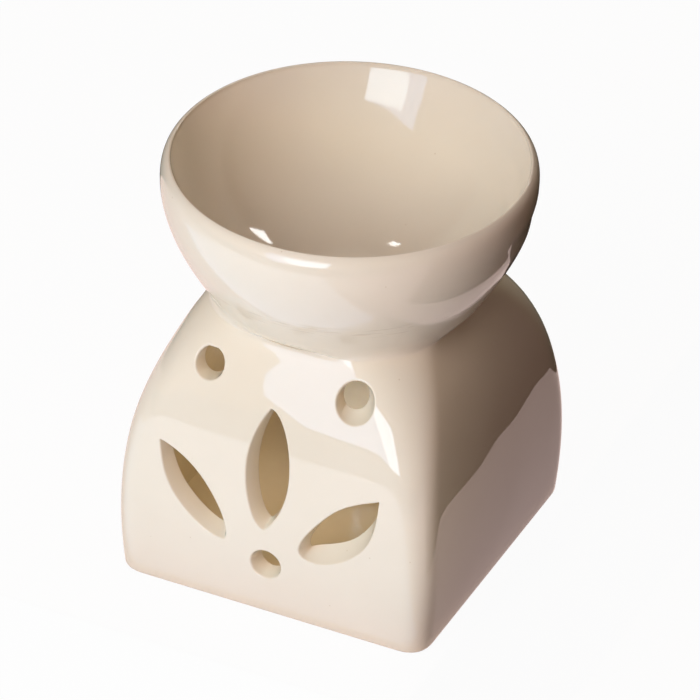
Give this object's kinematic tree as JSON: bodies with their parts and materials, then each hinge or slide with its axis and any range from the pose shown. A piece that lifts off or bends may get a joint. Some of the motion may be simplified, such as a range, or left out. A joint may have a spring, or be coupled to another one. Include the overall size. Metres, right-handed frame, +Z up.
{
  "type": "ceramic oil burner",
  "caption": "Square-bodied ceramic oil burner with a round dish on its neck, leaf-shaped cut-outs in front, and a tealight that slides in through a rear arch.",
  "frame": {"origin": "centre of the body's foot, on the surface it stands on", "axes": "+Z up; the pierced front faces -Y, the rear arch opens towards +Y, and +X is the plain side to the right of the front"},
  "size_m": [0.084, 0.084, 0.1],
  "materials": {
    "cream_glaze_body": "cream earthenware under a clear, very glossy glaze",
    "cream_glaze_dish": "cream earthenware under a clear, very glossy glaze",
    "cup_foil": "thin pressed sheet, satin",
    "wax": "poured paraffin wax, waxy sheen",
    "sustainer_tin": "tinned sheet, dull",
    "wick_cotton": "braided cotton, waxed"
  },
  "bodies": {
    "burner": {"burner_body": "cream_glaze_body", "oil_bowl": "cream_glaze_dish"},
    "tealight": {"tealight_cup": "cup_foil", "wax_fill": "wax", "wick_sustainer": "sustainer_tin", "wick": "wick_cotton"}
  },
  "joints": [
    {"name": "tealight_slide", "type": "slide", "parent": "burner", "child": "tealight", "axis": [0, 1, 0], "range_m": [-0.019, 0.042]}
  ]
}
